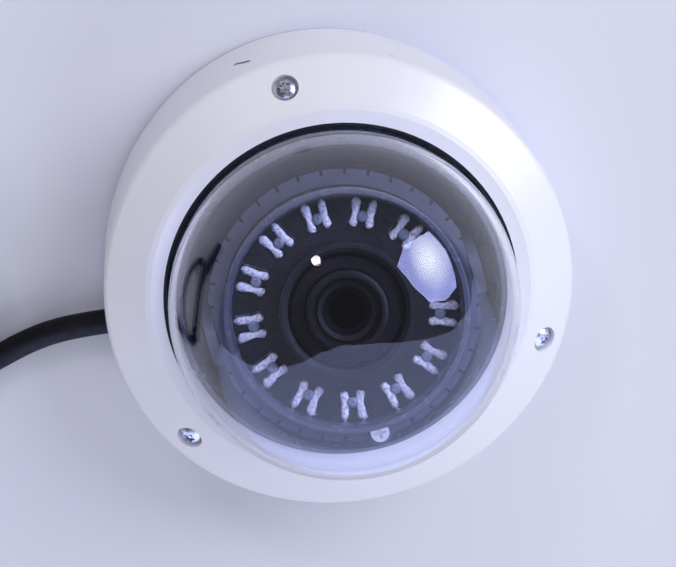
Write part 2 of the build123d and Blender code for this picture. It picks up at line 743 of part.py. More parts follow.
def make_network_socket():
    """Moulded in-line socket: tapered neck, ribbed body and a square mouth."""
    neck = Rot(0, 90, 0) * turned((0, 0), (3.6, 0), (6.4, 15), (6.4, 17), (0, 17))
    body = Pos(33, 0, 0) * Box(34, 18, 16)
    body = fillet(body.edges().filter_by(Axis.X), 2.4)
    for rib_x in (22, 25, 28):
        groove = Pos(rib_x, 0, 0) * (Box(1.2, 20, 18) - Box(2, 17, 15))
        body -= groove
    mouth_width, mouth_height, mouth_depth = PLUG_MOUTH
    mouth = Pos(50 - mouth_depth / 2 + 0.5, 0, 0) * Box(mouth_depth + 1, mouth_width, mouth_height)
    latch = Pos(50 - mouth_depth / 2 + 0.5, 0, -4.4) * Box(mouth_depth + 1, 5.0, 2.6)
    return socket_place() * (neck + body - mouth - latch)


def make_socket_contacts():
    contacts = []
    for place in range(8):
        strip = Pos(42.5, (place - 3.5) * 1.02, 3.3) * Box(11, 0.5, 0.5)
        contacts.append(socket_place() * strip)
    return group(contacts)


NODES = {
    "cover": make_cover,
    "cover_screws": make_cover_screws,
    "captive_clips": make_captive_clips,
    "cover_seal": make_cover_seal,
    "dome_bubble": make_dome_bubble,
    "dome_gasket": make_dome_gasket,
    "dome_retainer": make_dome_retainer,
    "retainer_screws": make_retainer_screws,
    "liner": make_liner,
    "base_housing": make_base_housing,
    "main_board": make_main_board,
    "board_screws": make_board_screws,
    "board_chips": make_board_chips,
    "board_connectors": make_board_connectors,
    "turntable": make_turntable,
    "pan_clamp_ring": make_pan_clamp_ring,
    "turntable_screws": make_turntable_screws,
    "pan_lock_screw": make_pan_lock_screw,
    "pan_yoke": make_pan_yoke,
    "shroud": make_shroud,
    "roll_carrier": make_roll_carrier,
    "tilt_pivot_screws": make_tilt_pivot_screws,
    "roll_lock_screw": make_roll_lock_screw,
    "ball_rear_shell": make_ball_rear_shell,
    "ball_front_shell": make_ball_front_shell,
    "ball_screws": make_ball_screws,
    "ir_board": make_ir_board,
    "light_sensor": make_light_sensor,
    "ir_window": make_ir_window,
    "lens_hood": make_lens_hood,
    "lens_holder": make_lens_holder,
    "filter_carriage": make_filter_carriage,
    "filter_glass": make_filter_glass,
    "lens_barrel": make_lens_barrel,
    "lens_glass": make_lens_glass,
    "focus_ring": make_focus_ring,
    "sensor_board": make_sensor_board,
    "image_sensor": make_image_sensor,
    "heat_sink": make_heat_sink,
    "inner_screws": make_inner_screws,
    "cable_gland": make_cable_gland,
    "cable_coil": make_cable_coil,
    "coil_tie": make_coil_tie,
    "network_socket": make_network_socket,
    "socket_contacts": make_socket_contacts,
}

for node, make in NODES.items():
    export_step(make(), f"parts/{node}.step")

lamp_places = [place for place in range(LED_PLACES) if place != SENSOR_PLACE]
for number, place in enumerate(lamp_places, start=1):
    export_step(make_ir_led(place), f"parts/ir_led_{number:02d}.step")

export_step(tube("cable_lead", LEAD_ROUTE, CABLE_RADIUS), "parts/cable_lead.step")
export_step(tube("cable_tail", TAIL_ROUTE, CABLE_RADIUS), "parts/cable_tail.step")
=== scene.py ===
import json
from math import atan2, cos, pi, radians, sin

import bmesh
import bpy
from mathutils import Matrix, Vector


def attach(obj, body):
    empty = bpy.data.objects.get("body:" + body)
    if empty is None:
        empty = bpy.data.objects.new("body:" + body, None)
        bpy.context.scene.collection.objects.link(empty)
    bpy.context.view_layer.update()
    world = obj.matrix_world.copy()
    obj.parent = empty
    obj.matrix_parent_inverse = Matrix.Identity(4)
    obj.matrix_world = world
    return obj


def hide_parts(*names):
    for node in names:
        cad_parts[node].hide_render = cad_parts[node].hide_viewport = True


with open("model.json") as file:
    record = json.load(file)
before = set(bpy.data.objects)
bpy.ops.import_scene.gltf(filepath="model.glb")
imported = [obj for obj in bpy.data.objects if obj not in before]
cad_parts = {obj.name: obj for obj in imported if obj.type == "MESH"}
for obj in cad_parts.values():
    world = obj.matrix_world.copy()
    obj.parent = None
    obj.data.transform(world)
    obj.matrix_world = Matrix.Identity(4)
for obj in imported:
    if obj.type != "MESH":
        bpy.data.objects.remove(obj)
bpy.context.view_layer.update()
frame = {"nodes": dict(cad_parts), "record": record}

nodes = frame["nodes"]

# ---------------------------------------------------------------- camera

CAMERA_PLACE = Vector((0.00414, -0.16314, 0.51242))
CAMERA_AIM = Vector((0.0, 0.0016, 0.020))
CAMERA_TOP = Vector((-0.266, -0.915, -0.304))
CAMERA_LENS = 117.5


def make_camera():
    """The photograph's view."""
    data = bpy.data.cameras.new("camera")
    data.lens = CAMERA_LENS
    data.sensor_width = 36.0
    data.clip_start = 0.01
    camera = bpy.data.objects.new("camera", data)
    bpy.context.collection.objects.link(camera)
    back = (CAMERA_PLACE - CAMERA_AIM).normalized()
    right = CAMERA_TOP.cross(back).normalized()
    top = back.cross(right)
    turn = Matrix((right, top, back)).transposed().to_4x4()
    camera.matrix_world = Matrix.Translation(CAMERA_PLACE) @ turn
    bpy.context.scene.camera = camera


make_camera()

# ---------------------------------------------------------------- cord

CABLE_RADIUS = 0.003
LEAD_ROUTE = [
    (0.0550, 0.0, 0.0060),
    (0.0640, -0.0009, 0.0049),
    (0.0740, -0.0004, 0.0040),
    (0.0850, 0.0023, 0.0036),
    (0.0960, 0.0053, 0.0037),
    (0.1065, 0.0075, 0.0036),
]
COIL_RADIUS = 0.033
COIL_STEPS = 20
COIL_END_HEIGHT = 0.0115
TAIL_ROUTE = [
    (0.1461, -0.0346, 0.0108),
    (0.1446, -0.0445, 0.0092),
    (0.1416, -0.0535, 0.0085),
]


def coil_points():
    """The coil's turns, clockwise from the lead's end round to the tail's start."""
    before, last = Vector(LEAD_ROUTE[-2]), Vector(LEAD_ROUTE[-1])
    run = (last - before).to_2d().normalized()
    centre = Vector((last.x + COIL_RADIUS * run.y, last.y - COIL_RADIUS * run.x))
    start = atan2(last.y - centre.y, last.x - centre.x)
    swept = start + 2 * pi
    count = round(COIL_STEPS * swept / (2 * pi))
    points = []
    for step in range(1, count + 1):
        turn = start - swept * step / count
        height = last.z + (COIL_END_HEIGHT - last.z) * step / count
        points.append((centre.x + COIL_RADIUS * cos(turn), centre.y + COIL_RADIUS * sin(turn), height))
    return points


def make_cord():
    """Lead, coil and tail as one round cable on a smooth curve."""
    points = LEAD_ROUTE + coil_points() + TAIL_ROUTE
    curve = bpy.data.curves.new("network_cord", "CURVE")
    curve.dimensions = "3D"
    curve.resolution_u = 10
    spline = curve.splines.new("NURBS")
    spline.points.add(len(points) - 1)
    for point, place in zip(spline.points, points):
        point.co = (*place, 1.0)
        point.radius = CABLE_RADIUS
    spline.order_u = 3
    spline.use_endpoint_u = True
    curve.bevel_depth = 1.0
    curve.bevel_resolution = 6
    cord = bpy.data.objects.new("network_cord", curve)
    bpy.context.collection.objects.link(cord)
    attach(cord, "base")
    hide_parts("cable_lead", "cable_coil", "cable_tail")
    return cord


cord = make_cord()

# ---------------------------------------------------------------- shader helpers


class Shader:
    """A material under construction: one Principled shader and the nodes that feed it."""

    def __init__(self, name, colour, roughness, **values):
        self.material = bpy.data.materials.new(name)
        self.material.use_nodes = True
        self.tree = self.material.node_tree
        self.main = self.tree.nodes["Principled BSDF"]
        self.main.inputs["Base Color"].default_value = (*colour, 1.0)
        self.main.inputs["Roughness"].default_value = roughness
        for socket, value in values.items():
            self.main.inputs[socket.replace("_", " ")].default_value = value
        self.place = self.add("ShaderNodeTexCoord").outputs["Object"]

    def add(self, kind, **settings):
        node = self.tree.nodes.new(kind)
        for name, value in settings.items():
            setattr(node, name, value)
        return node

    def feed(self, socket, value):
        """Put a number, a colour or another node's output into a socket."""
        if isinstance(value, bpy.types.NodeSocket):
            self.tree.links.new(value, socket)
        elif isinstance(value, (tuple, list)) and socket.type == "RGBA":
            socket.default_value = (*value[:3], 1.0)
        else:
            socket.default_value = value

    def maths(self, operation, first, second=0.0, clamp=False):
        node = self.add("ShaderNodeMath", operation=operation, use_clamp=clamp)
        self.feed(node.inputs[0], first)
        self.feed(node.inputs[1], second)
        return node.outputs[0]

    def vector(self, operation, first, second=(0, 0, 0), result="Vector"):
        node = self.add("ShaderNodeVectorMath", operation=operation)
        self.feed(node.inputs[0], first)
        self.feed(node.inputs[1], second)
        return node.outputs[result]

    def noise(self, scale, detail=3.0, stretch=(1, 1, 1)):
        """Smooth noise from 0 to 1, with about so many grains to the metre."""
        node = self.add("ShaderNodeTexNoise")
        node.inputs["Scale"].default_value = scale
        node.inputs["Detail"].default_value = detail
        place = self.place if stretch == (1, 1, 1) else self.vector("MULTIPLY", self.place, stretch)
        self.feed(node.inputs["Vector"], place)
        return node.outputs["Fac"]

    def cells(self, scale):
        """Distance to the nearest of scattered points, with about so many to the metre."""
        node = self.add("ShaderNodeTexVoronoi", feature="F1")
        node.inputs["Scale"].default_value = scale
        self.feed(node.inputs["Vector"], self.place)
        return node.outputs["Distance"]

    def spread(self, value, low, high, to_low=0.0, to_high=1.0):
        """Map a range of a value onto another range."""
        node = self.add("ShaderNodeMapRange")
        for socket, number in zip(("Value", "From Min", "From Max", "To Min", "To Max"),
                                  (value, low, high, to_low, to_high)):
            self.feed(node.inputs[socket], number)
        return node.outputs["Result"]

    def blend(self, share, first, second):
        node = self.add("ShaderNodeMix", data_type="RGBA")
        self.feed(node.inputs[0], share)
        self.feed(node.inputs[6], first)
        self.feed(node.inputs[7], second)
        return node.outputs[2]

    def colour(self, value):
        self.feed(self.main.inputs["Base Color"], value)

    def roughness(self, value):
        self.feed(self.main.inputs["Roughness"], value)

    def bump(self, height, distance, strength=1.0):
        node = self.add("ShaderNodeBump")
        node.inputs["Distance"].default_value = distance
        node.inputs["Strength"].default_value = strength
        self.feed(node.inputs["Height"], height)
        self.feed(self.main.inputs["Normal"], node.outputs["Normal"])

    def lets_lamps_through(self, tint):
        """Rays from lamps pass a clear piece straight, so that what is inside is lit."""
        path = self.add("ShaderNodeLightPath")
        open_shader = self.add("ShaderNodeBsdfTransparent")
        open_shader.inputs["Color"].default_value = (*tint, 1.0)
        mix = self.add("ShaderNodeMixShader")
        self.feed(mix.inputs[0], path.outputs["Is Shadow Ray"])
        self.feed(mix.inputs[1], self.main.outputs["BSDF"])
        self.feed(mix.inputs[2], open_shader.outputs["BSDF"])
        out = self.tree.nodes["Material Output"]
        self.feed(out.inputs["Surface"], mix.outputs[0])


def scaled(colour, share):
    return tuple(min(1.0, part * share) for part in colour)


# ---------------------------------------------------------------- materials

SCRATCH_PLACE = (0.0078, -0.0547, 0.0169)
SCRATCH_RUN = (-0.77, -0.11, 0.63)
SCRATCH_HALF_LENGTH = 0.0026
SCRATCH_HALF_WIDTH = 0.00075
SMUDGE_PLACE = (-0.0252, -0.0486, 0.0227)
SMUDGE_CORE = 0.0003
SMUDGE_EDGE = 0.0016
TONE_VARIATION = 0.08


def white_paint():
    """Stoved paint with faint orange peel, grime in patches and one dark scratch."""
    clean = (0.80, 0.80, 0.82)
    shader = Shader("white_paint", clean, 0.42, Coat_Weight=0.12, Coat_Roughness=0.25)
    patches = shader.spread(shader.noise(38, 4), 0.35, 0.75)
    tone = shader.blend(patches, clean, scaled(clean, 0.965))
    specks = shader.spread(shader.cells(420), 0.0, 0.07, 1.0, 0.0)
    rare = shader.spread(shader.noise(55, 2), 0.62, 0.68)
    tone = shader.blend(shader.maths("MULTIPLY", specks, rare, True), tone, (0.42, 0.41, 0.40))
    offset = shader.vector("SUBTRACT", shader.place, SCRATCH_PLACE)
    along = shader.vector("DOT_PRODUCT", offset, SCRATCH_RUN, "Value")
    across = shader.maths("MULTIPLY", along, along)
    reach = shader.vector("DOT_PRODUCT", offset, offset, "Value")
    across = shader.maths("SQRT", shader.maths("MAXIMUM", shader.maths("SUBTRACT", reach, across), 0.0))
    ragged = shader.maths("MULTIPLY", shader.noise(1400, 4), 2.0)
    inside = shader.spread(
        shader.maths("DIVIDE", across, ragged), SCRATCH_HALF_WIDTH * 0.7, SCRATCH_HALF_WIDTH, 1.0, 0.0)
    ends = shader.spread(
        shader.maths("ABSOLUTE", along), SCRATCH_HALF_LENGTH * 0.85, SCRATCH_HALF_LENGTH, 1.0, 0.0)
    scratch = shader.maths("MULTIPLY", inside, ends, True)
    tone = shader.blend(scratch, tone, (0.045, 0.042, 0.045))
    from_smudge = shader.vector("DISTANCE", shader.place, SMUDGE_PLACE, "Value")
    smudge = shader.spread(from_smudge, SMUDGE_CORE, SMUDGE_EDGE, 0.35, 0.0)
    smudge = shader.maths("MULTIPLY", smudge, ragged, True)
    shader.colour(shader.blend(smudge, tone, (0.45, 0.44, 0.46)))
    shader.roughness(shader.spread(shader.noise(160, 5), 0.3, 0.7, 0.38, 0.50))
    shader.bump(shader.noise(1500, 2), 0.00004, 0.35)
    return shader.material


def stainless():
    """Turned stainless steel, a little dulled, with grime in the low spots."""
    shader = Shader("stainless", (0.56, 0.56, 0.57), 0.28, Metallic=1.0)
    grime = shader.spread(shader.noise(900, 5), 0.52, 0.70)
    shader.colour(shader.blend(grime, (0.60, 0.60, 0.61), (0.30, 0.29, 0.28)))
    shader.roughness(shader.spread(shader.noise(2200, 3), 0.3, 0.7, 0.20, 0.42))
    shader.bump(shader.noise(5200, 2), 0.00002, 0.4)
    return shader.material


def sheet_steel():
    """Rolled sheet with its grain along Y."""
    shader = Shader("sheet_steel", (0.55, 0.56, 0.58), 0.34, Metallic=1.0)
    grain = shader.noise(500, 3, (1.0, 14.0, 1.0))
    shader.colour(shader.blend(grain, (0.60, 0.61, 0.63), (0.46, 0.47, 0.49)))
    shader.roughness(shader.spread(grain, 0.3, 0.7, 0.28, 0.44))
    shader.bump(grain, 0.00001, 0.5)
    return shader.material


def cast_aluminium():
    """Bare casting, mottled and slightly rough."""
    shader = Shader("cast_aluminium", (0.52, 0.53, 0.55), 0.5, Metallic=1.0)
    shader.colour(shader.blend(shader.noise(120, 5), (0.58, 0.59, 0.61), (0.43, 0.44, 0.46)))
    shader.roughness(shader.spread(shader.noise(900, 4), 0.3, 0.7, 0.42, 0.62))
    shader.bump(shader.noise(1800, 4), 0.00008, 0.5)
    return shader.material


def moulded(name, colour, roughness, grain=1600, depth=0.00002, **values):
    """Moulded plastic or rubber: fine grain, slight tone and gloss changes."""
    shader = Shader(name, colour, roughness, **values)
    tone = shader.spread(shader.noise(70, 4), 0.3, 0.7)
    darker, lighter = scaled(colour, 1 - TONE_VARIATION), scaled(colour, 1 + TONE_VARIATION)
    shader.colour(shader.blend(tone, darker, lighter))
    shader.roughness(shader.spread(shader.noise(400, 3), 0.3, 0.7, roughness - 0.05, roughness + 0.06))
    shader.bump(shader.noise(grain, 3), depth, 0.6)
    return shader.material


def cable_jacket():
    """Matt black jacket with dust and the faint twist of the cores inside."""
    shader = Shader("cable_black", (0.005, 0.005, 0.006), 0.62, Specular_IOR_Level=0.25)
    dust = shader.spread(shader.noise(260, 6), 0.48, 0.75)
    shader.colour(shader.blend(dust, (0.004, 0.004, 0.005), (0.011, 0.010, 0.011)))
    shader.roughness(shader.spread(shader.noise(600, 4), 0.3, 0.7, 0.52, 0.70))
    shader.bump(shader.noise(900, 3), 0.00005, 0.4)
    return shader.material


def circuit_board(name, mask, track):
    """Solder mask with tracks showing through it as slightly lighter lines."""
    shader = Shader(name, mask, 0.32, Coat_Weight=0.2, Coat_Roughness=0.2)
    bricks = shader.add("ShaderNodeTexBrick", offset=0.35, squash=1.6)
    for socket, value in (("Scale", 420.0), ("Mortar Size", 0.055), ("Mortar Smooth", 0.2)):
        bricks.inputs[socket].default_value = value
    shader.feed(bricks.inputs["Vector"], shader.place)
    lines = bricks.outputs["Fac"]
    broken = shader.maths("MULTIPLY", lines, shader.spread(shader.noise(130, 2), 0.42, 0.5), True)
    shader.colour(shader.blend(broken, mask, track))
    shader.roughness(shader.spread(shader.noise(700, 2), 0.3, 0.7, 0.26, 0.38))
    shader.bump(broken, 0.00003, 0.5)
    return shader.material


def clear_plastic(name, tint, haze, ior=1.49, wear=0.0):
    """Clear moulded plastic. Fine haze and rubbed patches blur what is behind it a little."""
    shader = Shader(name, tint, haze, IOR=ior, Transmission_Weight=1.0)
    rubbed = shader.spread(shader.noise(45, 5), 0.58, 0.74)
    scuffs = shader.spread(shader.noise(240, 6, (1.0, 3.0, 1.0)), 0.55, 0.72)
    worn = shader.maths("MULTIPLY", shader.maths("MULTIPLY", rubbed, scuffs), wear)
    shader.roughness(shader.maths("ADD", worn, haze))
    shader.bump(shader.noise(60, 2), 0.00002, 0.15)
    shader.lets_lamps_through(tint)
    return shader.material


def coated_glass(name, colour, haze):
    """Thin glass whose coating shifts to green at a slant."""
    shader = Shader(name, colour, haze, IOR=1.14, Transmission_Weight=1.0)
    facing = shader.add("ShaderNodeLayerWeight")
    facing.inputs["Blend"].default_value = 0.35
    shader.colour(shader.blend(facing.outputs["Facing"], colour, (0.35, 0.55, 0.50)))
    shader.lets_lamps_through((0.5, 0.5, 0.55))
    return shader.material


def solder_silver():
    """Bright tinned lead frame, uneven like solder; its colour is lighter on the crowns of the lumps and
    darker in the hollows, a painted highlight and painted shade.
    """
    shader = Shader("solder_silver", (0.86, 0.86, 0.88), 0.35, Metallic=0.1)
    lumps_and_painted_highlights = shader.noise(1300, 4)
    # Painted highlight and painted shade: the colour follows the lump height, dark in the hollows and
    # white on the crowns.
    shader.colour(shader.blend(shader.spread(lumps_and_painted_highlights, 0.38, 0.58), (0.52, 0.51, 0.55), (1.0, 0.99, 1.0)))
    shader.roughness(shader.spread(lumps_and_painted_highlights, 0.3, 0.7, 0.22, 0.50))
    shader.bump(lumps_and_painted_highlights, 0.00030, 0.9)
    return shader.material


def lamp_die():
    """Silicone-covered die cup: milky blue grey."""
    shader = Shader("lamp_die", (0.20, 0.22, 0.28), 0.35, Coat_Weight=0.3, Coat_Roughness=0.15)
    shader.colour(shader.blend(shader.noise(1500, 2), (0.16, 0.18, 0.23), (0.30, 0.32, 0.39)))
    shader.bump(shader.noise(2500, 2), 0.00002, 0.4)
    return shader.material


def painted_shade_pupil():
    """Opaque near-black surface in place of the inner glass: painted shade for the dark depth of the lens
    under its coating.
    """
    # Painted shade: these near-black colours stand for the depth of the bore, not for the colour of the
    # glass.
    shader = Shader("painted_shade_pupil", (0.004, 0.004, 0.007), 0.08)
    shader.colour(shader.blend(shader.noise(300, 2), (0.003, 0.003, 0.005), (0.006, 0.006, 0.010)))
    return shader.material


def gold_flash():
    """Thin gold plating on the socket's contacts."""
    shader = Shader("gold_contact", (0.80, 0.58, 0.24), 0.25, Metallic=1.0)
    shader.colour(shader.blend(shader.noise(1200, 3), (0.84, 0.62, 0.28), (0.66, 0.46, 0.18)))
    shader.roughness(shader.spread(shader.noise(2600, 3), 0.3, 0.7, 0.18, 0.34))
    return shader.material


MATERIALS = {
    "white_paint": white_paint(),
    "stainless": stainless(),
    "sheet_steel": sheet_steel(),
    "cast_aluminium": cast_aluminium(),
    "black_rubber": moulded(
        "black_rubber", (0.010, 0.010, 0.012), 0.62, 2200, 0.00004, Specular_IOR_Level=0.3),
    "light_plastic": moulded(
        "light_plastic", (0.066, 0.071, 0.108), 0.24, 1500, 0.00001, Specular_IOR_Level=0.8),
    "white_nylon": moulded("white_nylon", (0.72, 0.72, 0.74), 0.38, 1300, 0.00002, Subsurface_Weight=0.1),
    "black_plastic": moulded("black_plastic", (0.022, 0.025, 0.042), 0.42, 1800, 0.00003),
    "grey_plastic": moulded("grey_plastic", (0.040, 0.045, 0.075), 0.45, 1500, 0.00002),
    "black_metal": moulded(
        "black_metal", (0.008, 0.008, 0.010), 0.50, 2600, 0.00001, Specular_IOR_Level=0.2),
    "chip_black": moulded("chip_black", (0.022, 0.022, 0.024), 0.50, 3000, 0.00001),
    "tie_black": moulded("tie_black", (0.016, 0.016, 0.017), 0.40, 1800, 0.00003),
    "socket_black": moulded("socket_black", (0.022, 0.022, 0.024), 0.48, 2400, 0.00006),
    "cable_black": cable_jacket(),
    "green_board": circuit_board("green_board", (0.010, 0.075, 0.030), (0.03, 0.16, 0.07)),
    "black_board": circuit_board("black_board", (0.008, 0.008, 0.012), (0.019, 0.019, 0.025)),
    "clear_dome": clear_plastic("clear_dome", (0.93, 0.94, 1.0), 0.0, wear=0.12),
    "clear_window": clear_plastic("clear_window", (0.92, 0.93, 0.95), 0.01, wear=0.05),
    "led_clear": clear_plastic("led_clear", (0.97, 0.97, 0.98), 0.0, ior=1.06),
    "lens_glass": coated_glass("lens_glass", (0.10, 0.08, 0.17), 0.0),
    "filter_glass": coated_glass("filter_glass", (0.45, 0.70, 0.75), 0.0),
    "sensor_cell": coated_glass("sensor_cell", (0.06, 0.05, 0.08), 0.05),
    "gold_contact": gold_flash(),
    "painted_shade_pupil": painted_shade_pupil(),
    "solder_silver": solder_silver(),
    "lamp_die": lamp_die(),
}


def paint_nodes():
    """Each CAD node takes the material of its slot in the record."""
    for part in frame["record"]["subparts"]:
        surface = nodes[part["node"]].data.materials
        surface.clear()
        surface.append(MATERIALS[part["material_slot"]])


paint_nodes()
cord.data.materials.append(MATERIALS["cable_black"])

# ---------------------------------------------------------------- eyeball details

BALL_CENTRE = Vector((0.0, 0.0, 0.040))
BALL_TILT = radians(13.5)
LED_CIRCLE = 0.0215
LED_PLACES = 13
LED_START = radians(272.5)
SENSOR_PLACE = 10
IR_BOARD_TOP = 0.0115
LENS_SEAT = 0.0168


def in_ball():
    """From the eyeball's own axes to its place at rest."""
    return Matrix.Translation(BALL_CENTRE) @ Matrix.Rotation(BALL_TILT, 4, "X")


def new_piece(name, bm, material, body, place):
    """A smooth detail piece that rides on a body of the frame."""
    mesh = bpy.data.meshes.new(name)
    bmesh.ops.recalc_face_normals(bm, faces=bm.faces[:])
    bm.to_mesh(mesh)
    bm.free()
    mesh.materials.append(MATERIALS[material])
    for face in mesh.polygons:
        face.use_smooth = True
    piece = bpy.data.objects.new(name, mesh)
    bpy.context.collection.objects.link(piece)
    piece.matrix_world = place
    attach(piece, body)


def lathe(bm, profile, steps):
    """Turn a closed outline of (radius, height) points about Z."""
    rings = []
    for step in range(steps):
        turn = 2 * pi * step / steps
        rings.append([bm.verts.new((radius * cos(turn), radius * sin(turn), z)) for radius, z in profile])
    for step in range(steps):
        here, after = rings[step], rings[(step + 1) % steps]
        for k in range(len(profile)):
            near = (k + 1) % len(profile)
            bm.faces.new((here[k], after[k], after[near], here[near]))


BAR_STATIONS = 22
BAR_ARCH = 8
BAR_POINT = 0.00002
WAVE_SHARE = 0.09
WAVE_RUN = 7
WAVE_SHIFT_X = 40
WAVE_SHIFT_Y = 900
LEAD_SPACING = 0.0021
LEAD_REACH = 0.0032
LEAD_SPLAY = 0.00045
LEAD_WIDTH = 0.00165
LEAD_TIP = 0.00200
LEAD_HEIGHT = 0.00065
BRIDGE_WIDTH = 0.0013
DIE_RADIUS = 0.00110
DIE_OFFSET = -0.0007
CUP_OUTLINE = [(1.0, 0.0), (1.0, 0.0006), (0.9, 0.0008), (0.5, 0.00098)]
CUP_HEIGHT = 0.00102
CUP_STEPS = 32
CUP_AXIS = 0.00001
BOARD_GAP = 0.0001


def add_bar(bm, start, waist, end, width, tip, height, low):
    """Bent bar with rounded, swollen ends, like a soldered lead. Its section is a low arch."""
    start, waist, end = Vector(start), Vector(waist), Vector(end)
    pull = 2 * waist - (start + end) / 2
    length = (end - start).length
    rows = []
    for k in range(BAR_STATIONS + 1):
        t = (1 - cos(pi * k / BAR_STATIONS)) / 2
        middle = (1 - t) ** 2 * start + 2 * t * (1 - t) * pull + t ** 2 * end
        along = ((1 - t) * (pull - start) + t * (end - pull)).normalized()
        side = Vector((-along.y, along.x))
        from_end = min(t, 1 - t) * length
        swell = max(0.0, 1 - ((from_end - tip / 2) / tip) ** 2)
        wave = sin(WAVE_RUN * t + WAVE_SHIFT_X * start.x + WAVE_SHIFT_Y * start.y)
        half = (width + (tip - width) * swell) / 2 * (1 + WAVE_SHARE * wave)
        if from_end < tip / 2:
            half = max(half * (1 - (1 - from_end / (tip / 2)) ** 2) ** 0.5, BAR_POINT)
        row = []
        for j in range(BAR_ARCH + 1):
            across = side * (half * cos(pi * j / BAR_ARCH))
            lift = height * min(1.0, 2 * half / width) * sin(pi * j / BAR_ARCH)
            row.append(bm.verts.new((middle.x + across.x, middle.y + across.y, low + lift)))
        rows.append(row)
    for here, after in zip(rows, rows[1:]):
        for j in range(BAR_ARCH):
            bm.faces.new((here[j], here[j + 1], after[j + 1], after[j]))
        bm.faces.new((here[-1], here[0], after[0], after[-1]))
    bm.faces.new(rows[0])
    bm.faces.new(rows[-1])


def make_lead_frame(number, place):
    """Two splayed leads along the radius, a bridge, and the die cup on the bridge."""
    low = IR_BOARD_TOP + BOARD_GAP
    frame_mesh = bmesh.new()
    bridge_end = LEAD_SPACING - LEAD_SPLAY
    for side in (-1, 1):
        waist = (DIE_OFFSET, side * bridge_end)
        tips = [(end * LEAD_REACH, side * LEAD_SPACING) for end in (-1, 1)]
        add_bar(frame_mesh, tips[0], waist, tips[1], LEAD_WIDTH, LEAD_TIP, LEAD_HEIGHT, low)
    ends = [(DIE_OFFSET, side * bridge_end) for side in (-1, 1)]
    add_bar(frame_mesh, ends[0], (DIE_OFFSET, 0.0), ends[1], BRIDGE_WIDTH, BRIDGE_WIDTH, LEAD_HEIGHT, low)
    turn = LED_START + 2 * pi / LED_PLACES * place
    seat = in_ball() @ Matrix.Rotation(turn, 4, "Z") @ Matrix.Translation((LED_CIRCLE, 0, 0))
    new_piece(f"lead_frame_{number:02d}", frame_mesh, "solder_silver", "ball", seat)
    cup = bmesh.new()
    outline = [(DIE_RADIUS * share, low + rise) for share, rise in CUP_OUTLINE]
    lathe(cup, [(CUP_AXIS, low)] + outline + [(CUP_AXIS, low + CUP_HEIGHT)], CUP_STEPS)
    cup_seat = seat @ Matrix.Translation((DIE_OFFSET, 0, 0))
    new_piece(f"die_cup_{number:02d}", cup, "lamp_die", "ball", cup_seat)


def make_lead_frames():
    """A lead frame at every place of the ring but the light sensor's."""
    places = [place for place in range(LED_PLACES) if place != SENSOR_PLACE]
    for number, place in enumerate(places, start=1):
        make_lead_frame(number, place)


STEP_COUNT = 5
STEP_RADIUS = 0.0066
STEP_PITCH = 0.00055
STEP_RISE = 0.00055
STEP_DROP = 0.00011
STEP_TREAD = 0.00045
STEP_WALL = 0.00048
STEP_SAG = 0.00002
STEP_DEPTH = 0.00010
STEPS_OUTER = 0.0068
STEPS_LOW = 0.00002
PUPIL_RADIUS = 0.0039
PUPIL_LOW = 0.0142
PUPIL_SHOULDER = 0.0150
PUPIL_BULGE = 0.0010
PUPIL_AXIS = 0.0001
LENS_STEPS = 96
PUPIL_STEPS = 64


def make_lens_steps():
    """Stepped black rings seen through the front glass, and the bulge deep in the bore, painted
    near-black as shade for the lens's dark depth.
    """
    steps = bmesh.new()
    outline = []
    for k in range(STEP_COUNT):
        radius = STEP_RADIUS - STEP_PITCH * k
        height = LENS_SEAT + STEP_RISE - STEP_DROP * k
        outline.append((radius, height))
        outline.append((radius - STEP_TREAD, height - STEP_SAG))
        outline.append((radius - STEP_WALL, height - STEP_DEPTH))
    outline += [(PUPIL_RADIUS, LENS_SEAT + STEPS_LOW), (STEPS_OUTER, LENS_SEAT + STEPS_LOW)]
    lathe(steps, outline, LENS_STEPS)
    new_piece("lens_steps", steps, "black_metal", "lens", in_ball())
    element = bmesh.new()
    bulge = []
    for angle in range(15, 91, 15):
        turn = radians(angle)
        bulge.append((PUPIL_RADIUS * sin(turn), PUPIL_SHOULDER + PUPIL_BULGE * cos(turn)))
    crown = PUPIL_SHOULDER + PUPIL_BULGE
    axis = [(PUPIL_AXIS, PUPIL_LOW), (PUPIL_AXIS, crown)]
    lathe(element, axis + bulge + [(PUPIL_RADIUS, PUPIL_LOW)], PUPIL_STEPS)
    # The inner element carries painted shade: near-black in place of glass, for the lens's dark depth.
    new_piece("inner_element", element, "painted_shade_pupil", "lens", in_ball())


make_lead_frames()
make_lens_steps()

# ---------------------------------------------------------------- stage and light

LAMP_AIM = Vector((0, 0, 0.03))
FLOOR_HALF = 2.5
FLOOR_HEIGHT = -0.0001
FLOOR_COLOUR = (0.72, 0.73, 0.82)
ROOM_COLOUR = (0.82, 0.84, 0.98)
ROOM_LIGHT = 0.40
ROOM_REFLECTED = 0.13

# A window off to the right, as (y, z) points on a plane of constant x.
WINDOW_X = -0.9
WINDOW_COLOUR = (0.20, 0.225, 0.485)
WINDOW_STRENGTH = 30.0
WINDOW_OUTLINE = [
    (-0.73, 0.62),
    (-0.50, 0.18),
    (-0.25, 0.19),
    (0.02, 0.30),
    (0.07, 0.50),
    (0.00, 0.75),
    (-0.27, 0.91),
    (-0.68, 1.00),
]
CORE_PLACE = (WINDOW_X, -0.36, 0.46)
CORE_COLOUR = (0.62, 0.66, 0.80)
CORE_RADIUS = 0.06
CORE_FADE = 0.32

